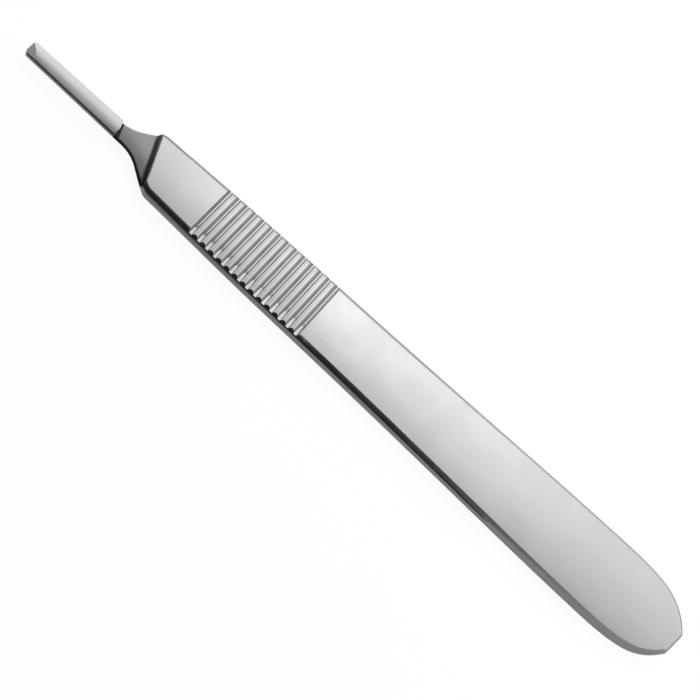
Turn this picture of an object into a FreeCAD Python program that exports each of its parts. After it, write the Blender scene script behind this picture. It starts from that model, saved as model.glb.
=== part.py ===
import FreeCAD, Part
import math
import os

# Scalpel handle with a detachable-blade fitting, one piece of stainless steel. Millimetres.
# It lies on its back: +X runs from the blade end to the rear end, +Z up. The origin is under the middle.
# A station is a distance from the tip of the fitting. The far side is +Y, the near side -Y.

V = FreeCAD.Vector

# Body seen from above
length = 125.0
front_station = 27.0
front_width = 8.75
grip_station = 41.0
grip_width = 9.75
waist_station = 60.0
waist_width = 10.45
palm_to_end = 37.0
palm_width = 11.85
widest_to_end = 15.5
widest_width = 12.8
tail_to_end = 5.8
tail_width = 11.5
tail_angle = 14.0
tail_radius = 9.5
end_cut_angle = 9.5
end_corner_ease = 0.15

# Thickness, the slightly domed upper face and the rounded edges
front_thickness = 3.2
rear_thickness = 2.45
face_radius = 70.0
edge_radius = 0.7

# Front corners of the body and the flares that lead to them
far_corner_station = 21.9
far_corner_inset = 0.22
far_corner_radius = 2.2
far_flare_angle = 36.0
far_flare_radius = 7.0
near_corner_station = 25.6
near_corner_inset = 0.04
near_corner_radius = 1.6
near_flare_angle = 30.5
near_flare_radius = 6.0

# Shoulder above the plate and the ramp below it
shoulder_station = 22.7
shoulder_angle = 24.0
shoulder_draft = 27.0
shoulder_foot_radius = 0.3
shoulder_edge_radius = 0.25
ramp_station = 21.7
ramp_angle = 16.0
ramp_radius = 3.0

# Grip: ridges across both faces
groove_count = 14
groove_pitch = 1.557
first_groove_station = 34.25
groove_depth = 0.42
groove_floor_radius = 0.28
groove_flank_angle = 57.0
ridge_fall = 0.10
ridge_relief = 0.02

# Blade fitting: a standard sheet blade slides into the side grooves of the nib
blade_thickness = 0.40
blade_clearance = 0.05
nib_underside = 1.25
plate_thickness = 0.70
nib_tip_width = 2.05
nib_rear_width = 2.4
nib_offset = 0.16
heel_station = 16.9
heel_angle = 21.6
lip_thickness = 0.36
lip_overhang = 0.30
nib_dome_radius = 6.2
nib_corner_radius = 0.3
tip_bevel_length = 2.1
tip_bevel_drop = 0.3
heel_relief_width = 0.28
heel_relief_depth = 0.2

# Sizes worked out from those above
seat_height = nib_underside + plate_thickness
lip_height = seat_height + blade_thickness + blade_clearance
nib_top = lip_height + lip_thickness
face_slope = (front_thickness - rear_thickness) / (length - shoulder_station)
end_corner_radius = edge_radius + end_corner_ease
palm_station = length - palm_to_end
widest_station = length - widest_to_end
tail_station = length - tail_to_end
above = 2 * front_thickness
beside = widest_width
overrun = 1.0


def at(station, y=0.0, z=0.0):
    """A point given by its distance from the tip of the fitting."""
    return V(station - length / 2, y, z)


def heading(degrees):
    """A direction seen from above, turned from +X toward the far side."""
    return V(math.cos(math.radians(degrees)), math.sin(math.radians(degrees)), 0)


def crossing(a, along_a, b, along_b):
    """Where two lines cross in plan."""
    run = (b - a).cross(along_b).z / along_a.cross(along_b).z
    return a + along_a * run


def rounded(corners, closed=True):
    """Edges of an outline from corners given as (point, radius)."""
    edges = []
    stops = []
    for i, (corner, radius) in enumerate(corners):
        if radius > 0:
            back = (corners[i - 1][0] - corner).normalize()
            ahead = (corners[(i + 1) % len(corners)][0] - corner).normalize()
            half = back.getAngle(ahead) / 2
            start = corner + back * (radius / math.tan(half))
            end = corner + ahead * (radius / math.tan(half))
            middle = corner + (back + ahead).normalize() * (radius / math.sin(half) - radius)
            edges.append(Part.Arc(start, middle, end).toShape())
            stops.append((start, end))
        else:
            stops.append((corner, corner))
    turns = zip(stops, stops[1:] + stops[:1]) if closed else zip(stops, stops[1:])
    for (_, leave), (arrive, _) in turns:
        edges.append(Part.LineSegment(leave, arrive).toShape())
    return edges


def face_of(edges):
    """A flat face inside edges given in any order."""
    return Part.Face(Part.Wire(Part.__sortEdges__(edges)))


def prism(corners, along):
    """A solid from a rounded outline swept along a vector."""
    return face_of(rounded(corners)).extrude(along)


def nib_side(side):
    """Two points on one long side of the nib, at its tip and at its heel."""
    tip = at(0, nib_offset + side * nib_tip_width / 2)
    heel = at(heel_station, nib_offset + side * nib_rear_width / 2)
    return tip, heel


def front_corner(side):
    """Corner of the body where one flare ends."""
    if side > 0:
        return at(far_corner_station, front_width / 2 - far_corner_inset)
    return at(near_corner_station, near_corner_inset - front_width / 2)


def flare_edges(side):
    """Outline of one flare: nib side, concave arc, slanted line, body corner, start of the long side."""
    tip, heel = nib_side(side)
    corner = front_corner(side)
    angle = far_flare_angle if side > 0 else near_flare_angle
    root_radius = far_flare_radius if side > 0 else near_flare_radius
    corner_radius = far_corner_radius if side > 0 else near_corner_radius
    root = crossing(tip, heel - tip, corner, heading(side * angle))
    start = at(front_station, side * front_width / 2)
    middle = (tip + heel) / 2
    return rounded([(middle, 0), (root, root_radius), (corner, corner_radius), (start, 0)], closed=False)


def side_edge(side):
    """One long side of the body."""
    widths = [(front_station, front_width), (grip_station, grip_width), (waist_station, waist_width),
              (palm_station, palm_width), (widest_station, widest_width), (tail_station, tail_width)]
    points = [at(station, side * width / 2) for station, width in widths]
    curve = Part.BSplineCurve()
    curve.interpolate(Points=points, InitialTangent=(points[0] - front_corner(side)).normalize(),
                      FinalTangent=heading(-side * tail_angle))
    return curve.toShape()


def tail_centre(side):
    """Centre of the large arc that rounds the rear end on one side."""
    start = at(tail_station, side * tail_width / 2)
    return start - heading(side * (90 - tail_angle)) * tail_radius


def arc_about(centre, radius, start, end):
    """The shorter arc about a centre between two unit directions."""
    middle = (start + end).normalize()
    return Part.Arc(centre + start * radius, centre + middle * radius, centre + end * radius).toShape()


def rear_edges():
    """Outline of the rear end: two large arcs, two small ones and a slanted straight cut."""
    offset = tail_radius - end_corner_radius
    square = heading(-end_cut_angle)
    centres = {1: tail_centre(1), -1: tail_centre(-1)}
    x = length / 2 - end_corner_radius
    far = V(x, centres[1].y + math.sqrt(offset ** 2 - (x - centres[1].x) ** 2), 0)
    lean = math.degrees(math.acos((far - centres[-1]).dot(square) / offset))
    near = centres[-1] + heading(-end_cut_angle - lean) * offset
    edges = []
    for side, corner in ((1, far), (-1, near)):
        outward = (corner - centres[side]).normalize()
        edges.append(arc_about(centres[side], tail_radius, heading(side * (90 - tail_angle)), outward))
        edges.append(arc_about(corner, end_corner_radius, outward, square))
    cut = Part.LineSegment(far + square * end_corner_radius, near + square * end_corner_radius)
    return edges + [cut.toShape()]


def on_upper_face(shape):
    """Move a shape made level with its face at z 0 onto the sloping upper face."""
    slope = math.degrees(math.atan(face_slope))
    shape.rotate(V(0, 0, 0), V(0, 1, 0), slope)
    shape.translate(at(shoulder_station, 0, front_thickness))
    return shape


def blank():
    """The rounded bar that everything is cut from, with the flares run into a stub of the nib."""
    edges = flare_edges(1) + flare_edges(-1) + [side_edge(1), side_edge(-1)] + rear_edges()
    ends = [(tip + heel) / 2 for tip, heel in (nib_side(1), nib_side(-1))]
    edges.append(Part.LineSegment(ends[0], ends[1]).toShape())
    dome = Part.makeCylinder(face_radius, 2 * length, V(-length / 2, 0, -face_radius), V(1, 0, 0))
    bar = face_of(edges).extrude(V(0, 0, above)).common(on_upper_face(dome))
    border = []
    for edge in bar.Edges:
        first, last = edge.Vertexes[0].Point, edge.Vertexes[-1].Point
        upright = abs(first.z - last.z) > front_thickness / 2
        stub_end = max(first.x, last.x) < ends[0].x + 0.1
        if not upright and not stub_end:
            border.append(edge)
    return bar.makeFillet(edge_radius, border)


def seat_cutter():
    """Clears the seat: everything above it in front of the leaning shoulder wall."""
    away = heading(180 + shoulder_angle)
    along = heading(90 + shoulder_angle)
    foot = at(shoulder_station, 0, seat_height)
    lean = math.tan(math.radians(shoulder_draft))
    top = foot - away * (lean * above) + V(0, 0, above)
    front = foot + away * (2 * shoulder_station)
    corners = [(front, 0), (foot, shoulder_foot_radius), (top, 0), (front + V(0, 0, above), 0)]
    cutter = prism(corners, along * (4 * beside))
    cutter.translate(along * (-2 * beside))
    return cutter


def ramp_cutter():
    """Clears the underside: level under the nib and the plate, then a ramp down to the back."""
    run = (nib_underside + overrun) / math.tan(math.radians(ramp_angle))
    corners = [(at(-overrun, -beside, -overrun), 0),
               (at(-overrun, -beside, nib_underside), 0),
               (at(ramp_station, -beside, nib_underside), ramp_radius),
               (at(ramp_station + run, -beside, -overrun), 0)]
    return prism(corners, V(0, 2 * beside, 0))


def comb():
    """Profile of all grooves and the domed ridges between them, level, with the face at z 0."""
    flank = math.radians(groove_flank_angle)
    bottom = groove_floor_radius * math.sin(flank)
    floor = groove_floor_radius * (1 - math.cos(flank)) - groove_depth
    edge = -ridge_relief - ridge_fall
    half = bottom + (edge - floor) / math.tan(flank)
    first = first_groove_station - shoulder_station
    centres = [first + groove_pitch * i for i in range(groove_count)]
    edges = []
    for x in centres:
        edges.append(Part.LineSegment(V(x - half, 0, edge), V(x - bottom, 0, floor)).toShape())
        edges.append(Part.Arc(V(x - bottom, 0, floor), V(x, 0, -groove_depth), V(x + bottom, 0, floor)).toShape())
        edges.append(Part.LineSegment(V(x + bottom, 0, floor), V(x + half, 0, edge)).toShape())
    for x in centres[:-1]:
        crown = V(x + groove_pitch / 2, 0, -ridge_relief)
        edges.append(Part.Arc(V(x + half, 0, edge), crown, V(x + groove_pitch - half, 0, edge)).toShape())
    ends = [V(centres[0] - half, 0, edge), V(centres[-1] + half, 0, edge)]
    outer = [ends[0] + V(edge - overrun, 0, overrun - edge), ends[1] + V(overrun - edge, 0, overrun - edge)]
    for start, end in (ends[0], outer[0]), (outer[0], outer[1]), (outer[1], ends[1]):
        edges.append(Part.LineSegment(start, end).toShape())
    return face_of(edges)


def upper_grip_cutter():
    """The grooves bent across the domed upper face."""
    reach = math.degrees(math.asin(beside / 2 / face_radius))
    profile = comb()
    centre, axis = V(0, 0, -face_radius), V(1, 0, 0)
    profile.rotate(centre, axis, -reach)
    return on_upper_face(profile.revolve(centre, axis, 2 * reach))


def lower_grip_cutter():
    """The same grooves straight across the flat back."""
    profile = comb()
    profile.rotate(V(0, 0, 0), V(1, 0, 0), 180)
    cutter = profile.extrude(V(0, beside, 0))
    cutter.translate(at(shoulder_station, -beside / 2, 0))
    return cutter


def nib_outline(inset, front):
    """Corners of the nib in plan, drawn in on both sides, from a front station to its heel."""
    corners = []
    for side in (-1, 1):
        tip, heel = nib_side(side)
        along = (heel - tip).normalize()
        inward = V(0, -side * inset, 0)
        corners.append((tip + inward, tip + along * (front / along.x) + inward, heel + inward))
    return corners


def nib():
    """The tongue of the fitting with a groove along each long side and a bevelled tip."""
    near, far = nib_outline(0, 0)
    outline = [(near[0], nib_corner_radius), (near[2], 0), (far[2], 0), (far[0], nib_corner_radius)]
    body = prism(outline, V(0, 0, above))
    body.translate(V(0, 0, nib_underside))
    axis_end = at(-overrun, nib_offset, nib_top - nib_dome_radius)
    dome = Part.makeCylinder(nib_dome_radius, length, axis_end, V(1, 0, 0))
    body = body.common(dome)
    near, far = nib_outline(lip_overhang, -overrun)
    core = prism([(near[1], 0), (near[2], 0), (far[2], 0), (far[1], 0)], V(0, 0, above))
    slab = Part.makeBox(length / 2, beside, lip_height - seat_height, at(-overrun, -beside / 2, seat_height))
    return body.cut([slab.cut(core), heel_cutter(), bevel_cutter()])


def heel_cutter():
    """Ends the head of the nib with a slanted wall above the seat."""
    return behind_heel(2 * nib_rear_width, seat_height)


def heel_relief():
    """The narrow groove across the seat along the foot of the heel wall."""
    return behind_heel(heel_relief_width, seat_height - heel_relief_depth)


def behind_heel(depth, bottom):
    """A strip behind the heel wall, as deep along the handle as given, open at the top."""
    middle = at(heel_station, nib_offset, bottom)
    across = heading(90 + heel_angle) * nib_rear_width
    back = V(depth, 0, 0)
    corners = [(middle - across, 0), (middle + across, 0), (middle + across + back, 0), (middle - across + back, 0)]
    return prism(corners, V(0, 0, above))


def bevel_cutter():
    """Takes the near upper corner off the tip along a slanted facet."""
    half = nib_tip_width / 2
    far_end = at(0, nib_offset + half, nib_top)
    near_end = at(tip_bevel_length, nib_offset - half, nib_top)
    low = at(0, nib_offset - half, nib_top - tip_bevel_drop)
    normal = (near_end - far_end).cross(low - far_end).normalize()
    if normal.z < 0:
        normal = normal * -1
    size = 4 * nib_rear_width
    cutter = Part.makeBox(size, size, size, V(-size / 2, -size / 2, 0))
    cutter.Placement = FreeCAD.Placement(low, FreeCAD.Rotation(V(0, 0, 1), normal)).multiply(cutter.Placement)
    return cutter


def ease_shoulder(bar):
    """Rounds the upper edge of the shoulder wall, round both front corners too."""
    border = []
    for edge in bar.Edges:
        points = edge.discretize(5)
        offsets = [(p - at(shoulder_station)).dot(heading(shoulder_angle)) for p in points]
        wall_offsets = [(p.z - seat_height) * math.tan(math.radians(shoulder_draft)) for p in points]
        on_wall = all(abs(a - b) < 0.001 for a, b in zip(offsets, wall_offsets))
        high = min(p.z for p in points) > front_thickness - edge_radius - 0.3
        upright = abs(points[0].z - points[-1].z) > edge_radius
        if on_wall and high and not upright:
            border.append(edge)
    return bar.makeFillet(shoulder_edge_radius, border)


def handle():
    """The finished handle as one solid."""
    bar = blank().cut([seat_cutter(), ramp_cutter()])
    bar = ease_shoulder(bar)
    bar = bar.cut([upper_grip_cutter(), lower_grip_cutter()])
    return bar.fuse(nib()).cut(heel_relief()).removeSplitter()


os.makedirs("parts", exist_ok=True)
handle().Solids[0].exportStep("parts/handle.step")
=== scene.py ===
import math
import bpy
from mathutils import Matrix, Vector


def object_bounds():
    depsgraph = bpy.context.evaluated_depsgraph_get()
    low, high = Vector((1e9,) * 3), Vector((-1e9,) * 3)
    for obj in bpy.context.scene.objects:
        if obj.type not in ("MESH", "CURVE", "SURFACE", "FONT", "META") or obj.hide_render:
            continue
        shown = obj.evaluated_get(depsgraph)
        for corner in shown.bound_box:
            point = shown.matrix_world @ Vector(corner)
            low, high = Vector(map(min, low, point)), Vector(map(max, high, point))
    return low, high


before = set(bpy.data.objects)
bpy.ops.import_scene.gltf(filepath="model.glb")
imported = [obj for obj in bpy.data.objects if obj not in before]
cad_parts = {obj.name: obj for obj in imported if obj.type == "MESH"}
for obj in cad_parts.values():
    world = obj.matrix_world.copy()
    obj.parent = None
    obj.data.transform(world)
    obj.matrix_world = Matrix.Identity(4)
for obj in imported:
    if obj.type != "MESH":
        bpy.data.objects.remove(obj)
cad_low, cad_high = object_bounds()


# ---------------------------------------------------------------------------
# The handle. One piece of stainless steel: blanked, milled at the blade end,
# its ridges cut across both faces, then polished lengthwise to a soft satin.
# ---------------------------------------------------------------------------
mm = 0.001
tip_x = cad_low.x

steel_grey = (0.66, 0.66, 0.655, 1)
worn_grey = (0.74, 0.74, 0.735, 1)
# painted highlight: lighter base colour for the groove walls that face the tip
painted_highlight_grey = (0.84, 0.84, 0.835, 1)
milled_grey = (0.56, 0.56, 0.555, 1)
# painted shade: darker base colour for the groove walls that face the rear and for the shoulder wall
painted_shade_grey = (0.27, 0.27, 0.267, 1)
# painted shade: near-black base colour in the narrow cut along the heel's foot
painted_shade_black = (0.08, 0.08, 0.08, 1)

steel = bpy.data.materials.new("satin_stainless_steel")
steel.use_nodes = True
shader = steel.node_tree.nodes["Principled BSDF"]
shader.inputs["Metallic"].default_value = 1.0


def feed(source, socket):
    """Sets a socket to a number or colour, or links it to another socket."""
    if isinstance(source, bpy.types.NodeSocket):
        socket.id_data.links.new(source, socket)
    else:
        socket.default_value = source


def node(kind, label, *sources, tree=None, **settings):
    """A node with a label, its settings, and its inputs fed in order."""
    made = (tree or steel.node_tree).nodes.new(kind)
    made.label = label
    for name, value in settings.items():
        setattr(made, name, value)
    for socket, source in zip(made.inputs, sources):
        feed(source, socket)
    return made


def sum_up(label, operation, *values, tree=None):
    """The result of a Math node."""
    return node("ShaderNodeMath", label, *values, tree=tree, operation=operation).outputs[0]


def ramp(label, source, low, high, to_low=0.0, to_high=1.0):
    """A smooth step of a value from one range to another."""
    return node("ShaderNodeMapRange", label, source, low, high, to_low, to_high,
                interpolation_type="SMOOTHSTEP").outputs["Result"]


def tinted(label, share, under, over, tree=None, blend_type="MIX"):
    """One colour laid over another by a share."""
    mix = node("ShaderNodeMix", label, share, tree=tree, data_type="RGBA", blend_type=blend_type)
    feed(under, mix.inputs[6])
    feed(over, mix.inputs[7])
    return mix.outputs[2]


def grain(label, stretch, scale, detail, turned=0.0):
    """Noise drawn out along one way, as a polishing belt leaves it."""
    drawn_out = node("ShaderNodeMapping", label + " direction", place, (0, 0, 0),
                     (0, 0, math.radians(turned)), stretch)
    noise = node("ShaderNodeTexNoise", label, drawn_out.outputs[0])
    noise.inputs["Scale"].default_value = scale
    noise.inputs["Detail"].default_value = detail
    noise.inputs["Roughness"].default_value = 0.6
    return noise.outputs["Fac"]


def cosine(degrees):
    """The cosine of an angle in degrees."""
    return math.cos(math.radians(degrees))


def slope(degrees):
    """The tangent of an angle in degrees."""
    return math.tan(math.radians(degrees))


place = node("ShaderNodeTexCoord", "place on the handle").outputs["Object"]
axes = node("ShaderNodeSeparateXYZ", "place by axis", place)
station = sum_up("distance from the tip", "SUBTRACT", axes.outputs["X"], tip_x)
across = axes.outputs["Y"]
height = axes.outputs["Z"]
facing = node("ShaderNodeNewGeometry", "how the surface faces")
smooth_face, true_face = facing.outputs["Normal"], facing.outputs["True Normal"]
lengthwise_lean = node("ShaderNodeSeparateXYZ", "how the surface leans", smooth_face).outputs["X"]

# Where the grip's grooves are, and their outer ends.
grip_start, grip_end, grip_fade = 33.6 * mm, 55.4 * mm, 0.2 * mm
in_grip = sum_up("in the grip", "MULTIPLY",
                 ramp("grip starts", station, grip_start, grip_start + grip_fade),
                 ramp("grip ends", station, grip_end, grip_end - grip_fade))
off_centre = sum_up("distance from the middle line", "ABSOLUTE", across)
groove_ends = sum_up("near the groove ends", "MULTIPLY", in_grip,
                     ramp("outer part", off_centre, 3.0 * mm, 3.4 * mm))
# The groove walls that face the rear get painted shade in the base colour.
rear_walls = sum_up("groove walls that face the rear end", "MULTIPLY", in_grip,
                    ramp("leans to the rear end", lengthwise_lean, 0.10, 0.40))
# The groove walls that face the tip get a painted highlight in the base colour.
front_walls = sum_up("groove walls that face the tip", "MULTIPLY", in_grip,
                     ramp("leans to the tip", lengthwise_lean, -0.3, -0.6))

# Where the shoulder's wall is, between the seat and the grip. It gets painted shade in the base colour.
shoulder_wall = sum_up("between seat and grip", "MULTIPLY",
                       ramp("behind the seat", station, 20.0 * mm, 21.0 * mm),
                       ramp("before the grip", station, 29.0 * mm, 28.0 * mm))
shoulder_wall = sum_up("shoulder wall", "MULTIPLY", shoulder_wall,
                       ramp("faces the tip", lengthwise_lean, -0.5, -0.8))

# Where the seat behind the nib's heel is, and the narrow cut along the heel, which gets painted shade in the base
# colour.
# Both run slanted, so their distances are taken along the slant.
heel_slant, shoulder_slant = slope(21.6), slope(24)
seat_height = 1.95 * mm
behind_heel = sum_up("distance behind the heel", "MULTIPLY_ADD", across, heel_slant, station)
to_shoulder = sum_up("distance before the shoulder", "MULTIPLY_ADD", across, shoulder_slant, station)
on_seat = sum_up("between heel and shoulder", "MULTIPLY",
                 ramp("behind the heel", behind_heel, 16.95 * mm, 17.05 * mm),
                 ramp("before the shoulder", to_shoulder, 23.3 * mm, 22.9 * mm))
on_seat = sum_up("on the seat", "MULTIPLY", on_seat,
                 ramp("above the sides", height, seat_height - 0.05 * mm, seat_height - 0.02 * mm))
in_cut = sum_up("along the heel's foot", "MULTIPLY",
                ramp("cut starts", behind_heel, 16.50 * mm, 16.72 * mm),
                ramp("cut ends", behind_heel, 17.34 * mm, 17.22 * mm))
in_cut = sum_up("in the cut", "MULTIPLY", in_cut,
                ramp("no higher than the seat", height, seat_height + 0.015 * mm, seat_height + 0.002 * mm))

# The mesh rounds its shading over where a groove runs out at the side; there
# the true face shows instead.
agreement = node("ShaderNodeVectorMath", "smooth against true", smooth_face, true_face,
                 operation="DOT_PRODUCT").outputs["Value"]
astray = ramp("strays anywhere", agreement, cosine(16), cosine(24))
slightly = sum_up("strays slightly in a groove end", "MULTIPLY",
                  ramp("strays slightly", agreement, cosine(3), cosine(7)), groove_ends)
astray = sum_up("strays from the true face", "MAXIMUM", astray, slightly)
crisp = node("ShaderNodeMix", "crisp where grooves meet the sides", astray, data_type="VECTOR")
feed(smooth_face, crisp.inputs[4])
feed(true_face, crisp.inputs[5])

# The milling cutter dished the seat towards its near edge, which drifts aside
# by this much for each millimetre along the handle.
near_edge_drift = 0.27
from_near_edge = sum_up("distance from the near edge", "MULTIPLY_ADD", station, near_edge_drift, across)
lean = ramp("lean of the dished seat", from_near_edge, 3.99 * mm, 7.0 * mm, slope(-11), slope(-5))
lean = sum_up("lean on the seat alone", "MULTIPLY", lean, on_seat)
sideways = node("ShaderNodeCombineXYZ", "sideways", 0.0, lean)
dished = node("ShaderNodeVectorMath", "dished seat", crisp.outputs[1], sideways.outputs[0], operation="ADD")
dished = node("ShaderNodeVectorMath", "unit length", dished.outputs[0], operation="NORMALIZE").outputs[0]

# Marks that the tools and the hand left: lengthwise belt lines on the faces,
# crosswise wheel lines in the grip, arcs of the cutter on the seat, a few
# scratches, and faint smudges.
line_scale, line_detail = 9000, 3
belt_lines = grain("belt lines", (0.04, 1.0, 1.0), line_scale, line_detail)
wheel_lines = grain("wheel lines", (1.0, 0.04, 1.0), line_scale, line_detail)
lines = node("ShaderNodeMix", "belt or wheel lines", in_grip)
feed(belt_lines, lines.inputs[2])
feed(wheel_lines, lines.inputs[3])
lines = lines.outputs[0]
hand_waves = grain("hand polished waves", (0.6, 1.0, 1.0), 170, 0)
smudges = grain("smudges", (0.8, 1.0, 1.0), 250, 1)
long_scratches = grain("long scratch noise", (0.012, 1.0, 1.0), 5200, 1, 7)
slant_scratches = grain("slant scratch noise", (0.02, 1.0, 1.0), 4200, 1, -24)
scratches = sum_up("scratches both ways", "MAXIMUM",
                   ramp("long scratches", long_scratches, 0.75, 0.81),
                   ramp("slant scratches", slant_scratches, 0.77, 0.83))
cutter_arcs = node("ShaderNodeTexWave", "cutter arcs", place, bands_direction="X", wave_type="RINGS",
                   rings_direction="Z")
for name, value in (("Scale", 1700.0), ("Distortion", 1.5), ("Detail", 2.0), ("Detail Scale", 1.0)):
    cutter_arcs.inputs[name].default_value = value
cutter_arcs = sum_up("arcs on the seat alone", "MULTIPLY", cutter_arcs.outputs["Fac"], on_seat)

# Handling has worn the edges bright and smooth.
wear_width = 0.09 * mm
edge = node("ShaderNodeBevel", "softened edge", wear_width, samples=4)
sharpness = node("ShaderNodeVectorMath", "edge against face", edge.outputs[0], smooth_face,
                 operation="DOT_PRODUCT").outputs["Value"]
worn = sum_up("worn edge", "MULTIPLY", ramp("near an edge", sharpness, cosine(8), cosine(25)),
              ramp("uneven wear", smudges, 0.35, 0.6, 0.35, 1.0))
worn = sum_up("less in the grip", "MULTIPLY", worn, ramp("outside the grip", in_grip, 1.0, 0.0, 0.3, 1.0))

# The base colour gets painted shade on the rear groove walls, the shoulder wall and the cut at the heel's foot,
# and a painted highlight on the groove walls that face the tip.
colour = steel_grey
for label, share, over in (("milled seat", on_seat, milled_grey),
                           ("painted shade on groove walls", rear_walls, painted_shade_grey),
                           ("painted shade on the shoulder wall", shoulder_wall, painted_shade_grey),
                           ("painted highlight on groove walls", front_walls, painted_highlight_grey),
                           ("worn edges", worn, worn_grey),
                           ("painted shade in the cut", in_cut, painted_shade_black)):
    colour = tinted(label, share, colour, over)
feed(colour, shader.inputs["Base Color"])

roughness = ramp("smudges to roughness", smudges, 0.3, 0.7, 0.21, 0.27)
for label, mark, rougher_by in (("and lines", lines, 0.05),
                                ("and scratches", scratches, 0.06),
                                ("and the milled seat", on_seat, 0.12),
                                ("and the cut", in_cut, 0.3),
                                ("less worn edges", worn, -0.05)):
    roughness = sum_up(label, "MULTIPLY_ADD", mark, rougher_by, roughness)
feed(roughness, shader.inputs["Roughness"])

surface = dished
for label, height_map, strength, depth in (
        ("lines", lines, 0.12, 0.002 * mm),
        ("scratches", sum_up("cut in", "MULTIPLY", scratches, -1.0), 0.2, 0.001 * mm),
        ("cutter arcs", cutter_arcs, 0.5, 0.004 * mm),
        ("hand polished waves", hand_waves, 1.0, 0.02 * mm)):
    bump = node("ShaderNodeBump", label)
    for name, source in (("Strength", strength), ("Distance", depth), ("Height", height_map), ("Normal", surface)):
        feed(source, bump.inputs[name])
    surface = bump.outputs["Normal"]
feed(surface, shader.inputs["Normal"])

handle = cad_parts["handle"]
handle.data.materials.clear()
handle.data.materials.append(steel)


# ---------------------------------------------------------------------------
# The table. A wide sheet of white paper, with the handle lying on it. It glows
# white for the camera and faintly for the steel, and keeps the handle's shadow.
# ---------------------------------------------------------------------------
paper_grey = (0.14, 0.14, 0.14, 1)
glow_to_camera = 0.94
glow_to_steel = 0.25

bpy.ops.object.select_all(action="DESELECT")
bpy.ops.mesh.primitive_plane_add(size=6.0, location=(0, 0, 0))
table = bpy.context.object
table.name = "table"


def bare_tree(material):
    """A material's node tree with nothing in it."""
    material.use_nodes = True
    material.node_tree.nodes.clear()
    return material.node_tree


white = bpy.data.materials.new("white_paper")
paper_tree = bare_tree(white)
paper = node("ShaderNodeBsdfDiffuse", "paper", paper_grey, tree=paper_tree)
rays = node("ShaderNodeLightPath", "what looks at the paper", tree=paper_tree)
glow = sum_up("glow to the camera", "MULTIPLY", rays.outputs["Is Camera Ray"], glow_to_camera, tree=paper_tree)
glow = sum_up("and to the steel", "MULTIPLY_ADD", rays.outputs["Is Glossy Ray"], glow_to_steel, glow,
              tree=paper_tree)
glow = node("ShaderNodeEmission", "glow", (1, 1, 1, 1), glow, tree=paper_tree)
both = node("ShaderNodeAddShader", "paper and glow", paper.outputs[0], glow.outputs[0], tree=paper_tree)
node("ShaderNodeOutputMaterial", "out", both.outputs[0], tree=paper_tree)
table.data.materials.append(white)


# ---------------------------------------------------------------------------
# The black cards. They lie on the handle's near side, beside the nib and before
# the seat, and only the steel sees them, which gives it its dark edges.
# ---------------------------------------------------------------------------
box_height = 0.2
tip = tip_x / mm


def lying(*corners):
    """Corners in millimetres of a card that lies a hair above the table."""
    return [(x * mm, y * mm, 0.05 * mm) for x, y in corners]


black = bpy.data.materials.new("black_card")
black.use_nodes = True
black_shader = black.node_tree.nodes["Principled BSDF"]
black_shader.inputs["Base Color"].default_value = (0.03, 0.03, 0.03, 1)
black_shader.inputs["Roughness"].default_value = 0.9

cards = {
    "near_black_card": lying((-100, -160), (46, -160), (30, -7.5), (-100, -3.2)),
    "leaning_black_card": [(-0.6, -0.16, 0), (0.054, -0.16, 0),
                           (0.054, -0.03, box_height), (-0.6, -0.03, box_height)],
    "tip_black_card": lying((tip + 16.5, -8.5), (tip + 24, -8.5), (tip + 24, 300), (tip + 16.5, 300)),
    "nib_black_card": lying((tip - 1, -6), (tip + 16.5, -6), (tip + 16.5, -2), (tip - 1, -2.2)),
}
for name, corners in cards.items():
    bpy.ops.object.select_all(action="DESELECT")
    bpy.ops.mesh.primitive_plane_add(size=1.0)
    card = bpy.context.object
    card.name = name
    for point, corner in zip((card.data.vertices[i] for i in (0, 1, 3, 2)), corners):
        point.co = corner
    card.data.materials.append(black)
    card.visible_camera = False
    card.visible_diffuse = False
    card.visible_shadow = False
    card.visible_transmission = False


# ---------------------------------------------------------------------------
# The light. One large soft box hangs over the table, brightest at its far side
# and fading towards the tip. The far wall of the studio is bright too.
# ---------------------------------------------------------------------------
box_strength = 2.05

bpy.ops.object.select_all(action="DESELECT")
bpy.ops.mesh.primitive_plane_add(size=1.0, location=(0, 0, box_height))
soft_box = bpy.context.object
soft_box.name = "soft_box"
soft_box.scale = (1.0, 1.6, 1)
bpy.ops.object.transform_apply(location=False, rotation=False, scale=True)
soft_box.visible_camera = False
soft_box.visible_transmission = False
soft_box.visible_shadow = False


def fade(tree, label, source, stops):
    """Brightness along one axis between stops of (place in millimetres, brightness)."""
    start, end = stops[0][0], stops[-1][0]
    spread = node("ShaderNodeMapRange", label, source, start * mm, end * mm, tree=tree)
    shades = node("ShaderNodeValToRGB", label, spread.outputs["Result"], tree=tree)
    shades.color_ramp.interpolation = "EASE"
    elements = shades.color_ramp.elements
    while len(elements) < len(stops):
        elements.new(0.5)
    for element, (at, brightness) in zip(elements, stops):
        element.position = (at - start) / (end - start)
        element.color = (brightness, brightness, brightness, 1)
    return shades.outputs["Color"]


silk = bpy.data.materials.new("soft_box_silk")
silk_tree = bare_tree(silk)
on_box = node("ShaderNodeTexCoord", "place on the box", tree=silk_tree).outputs["Object"]
box_axes = node("ShaderNodeSeparateXYZ", "place on the box by axis", on_box, tree=silk_tree)
lengthwise, crosswise = box_axes.outputs["X"], box_axes.outputs["Y"]

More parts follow.
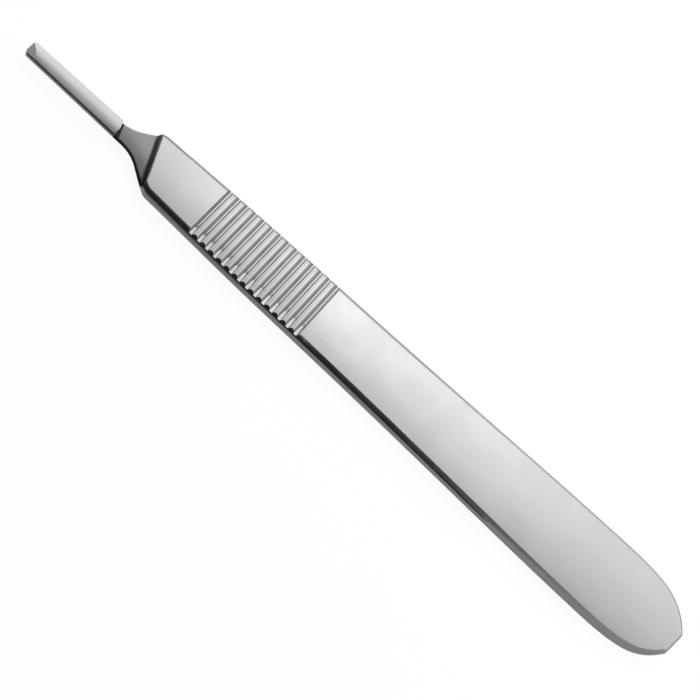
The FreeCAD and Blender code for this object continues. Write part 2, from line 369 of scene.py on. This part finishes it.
# The handle widens to the rear, so there the brightness starts a little nearer.
shift_start, shift_end, shift = -10 * mm, 75 * mm, 22 * mm
nearer = node("ShaderNodeMapRange", "nearer at the rear", lengthwise, shift_start, shift_end, 0, shift,
              tree=silk_tree)
bright_line = sum_up("crosswise place", "ADD", crosswise, nearer.outputs["Result"], tree=silk_tree)
near_to_far = fade(silk_tree, "near to far", bright_line,
                   [(-40, 0.0), (-5, 0.03), (40, 0.25), (58, 0.40), (76, 0.73), (100, 0.74),
                    (125, 0.89), (150, 1.0), (190, 0.93), (240, 0.45), (600, 0.35)])
tip_to_rear = fade(silk_tree, "tip to rear", lengthwise,
                   [(-420, 0.02), (-270, 0.40), (-190, 0.70), (-150, 0.62), (-103, 0.60), (-88, 0.61),
                    (-78, 0.52), (-67, 0.53), (-60, 0.63), (-50, 0.70), (-31, 0.80), (-20, 0.92),
                    (2, 0.90), (15, 0.78), (30, 0.72), (50, 0.67), (65, 0.65), (88, 0.59),
                    (100, 0.52), (112, 0.50), (420, 0.5)])

# Towards the rear the box glows on both sides of the bright line as well.
near_rear = fade(silk_tree, "towards the rear on the near side", lengthwise,
                 [(50, 0.0), (64, 0.024), (75, 0.06), (86, 0.135), (97, 0.24), (105, 0.3), (420, 0.3)])
far_rear = fade(silk_tree, "towards the rear on the far side", lengthwise,
                [(48, 0.0), (80, 1.0), (420, 1.0)])
far_part = fade(silk_tree, "the far part", crosswise, [(0, 0.0), (150, 0.0), (200, 0.95), (600, 0.95)])
far_rear = tinted("far side at the rear", 1.0, far_rear, far_part, silk_tree, "MULTIPLY")
rear_glow = tinted("both sides at the rear", 1.0, near_rear, far_rear, silk_tree, "LIGHTEN")
never_darker = tinted("never darker than that", 1.0, near_to_far, rear_glow, silk_tree, "LIGHTEN")
brightness = tinted("brightness of the silk", 1.0, never_darker, tip_to_rear, silk_tree, "MULTIPLY")
silk_glow = node("ShaderNodeEmission", "silk", brightness, box_strength, tree=silk_tree)
node("ShaderNodeOutputMaterial", "out", silk_glow.outputs[0], tree=silk_tree)
soft_box.data.materials.append(silk)

studio = bpy.data.worlds.new("studio")
bpy.context.scene.world = studio
studio.use_nodes = True
room_tree = studio.node_tree
direction = node("ShaderNodeTexCoord", "direction", tree=room_tree).outputs["Generated"]
towards_far_wall = (0.35, 0.94, 0)
far_wall = node("ShaderNodeVectorMath", "towards the far wall", direction, towards_far_wall, tree=room_tree,
                operation="DOT_PRODUCT").outputs["Value"]
walls = fade(room_tree, "near wall to far wall", far_wall,
             [(-1000, 0.3), (-100, 0.3), (300, 0.44), (700, 0.6), (1000, 0.6)])
room_rays = node("ShaderNodeLightPath", "what looks at the walls", tree=room_tree)
seen = tinted("white to the camera", room_rays.outputs["Is Camera Ray"], walls, (1, 1, 1, 1), room_tree)
feed(seen, room_tree.nodes["Background"].inputs["Color"])
room_tree.nodes["Background"].inputs["Strength"].default_value = 1.0


# ---------------------------------------------------------------------------
# The camera. It looks down on the handle from its near side, turned so that
# the handle runs from the upper left of the picture to the lower right.
# ---------------------------------------------------------------------------
turn = math.radians(-5.55)
tilt = math.radians(24.30)
roll = math.radians(47.61)
distance = 203.6 * mm
aim = Vector((61.83 * mm + tip_x, 0.09 * mm, 0))
picture_width = 700
focal_pixels = 1421.0

away = Vector((math.sin(turn) * math.sin(tilt), -math.cos(turn) * math.sin(tilt), math.cos(tilt)))
level = (-away).cross(Vector((0, 0, 1))).normalized()
upright = level.cross(-away)
picture_right = math.cos(roll) * level + math.sin(roll) * upright
picture_up = math.cos(roll) * upright - math.sin(roll) * level

camera_data = bpy.data.cameras.new("camera")
camera_data.sensor_width = 36.0
camera_data.lens = focal_pixels / picture_width * camera_data.sensor_width
camera_data.clip_start = 0.01
camera_data.clip_end = 10.0
camera = bpy.data.objects.new("camera", camera_data)
bpy.context.scene.collection.objects.link(camera)
facing_picture = Matrix((picture_right, picture_up, away)).transposed().to_4x4()
camera.matrix_world = Matrix.Translation(aim + away * distance) @ facing_picture
bpy.context.scene.camera = camera

bpy.context.scene.view_settings.view_transform = "Standard"
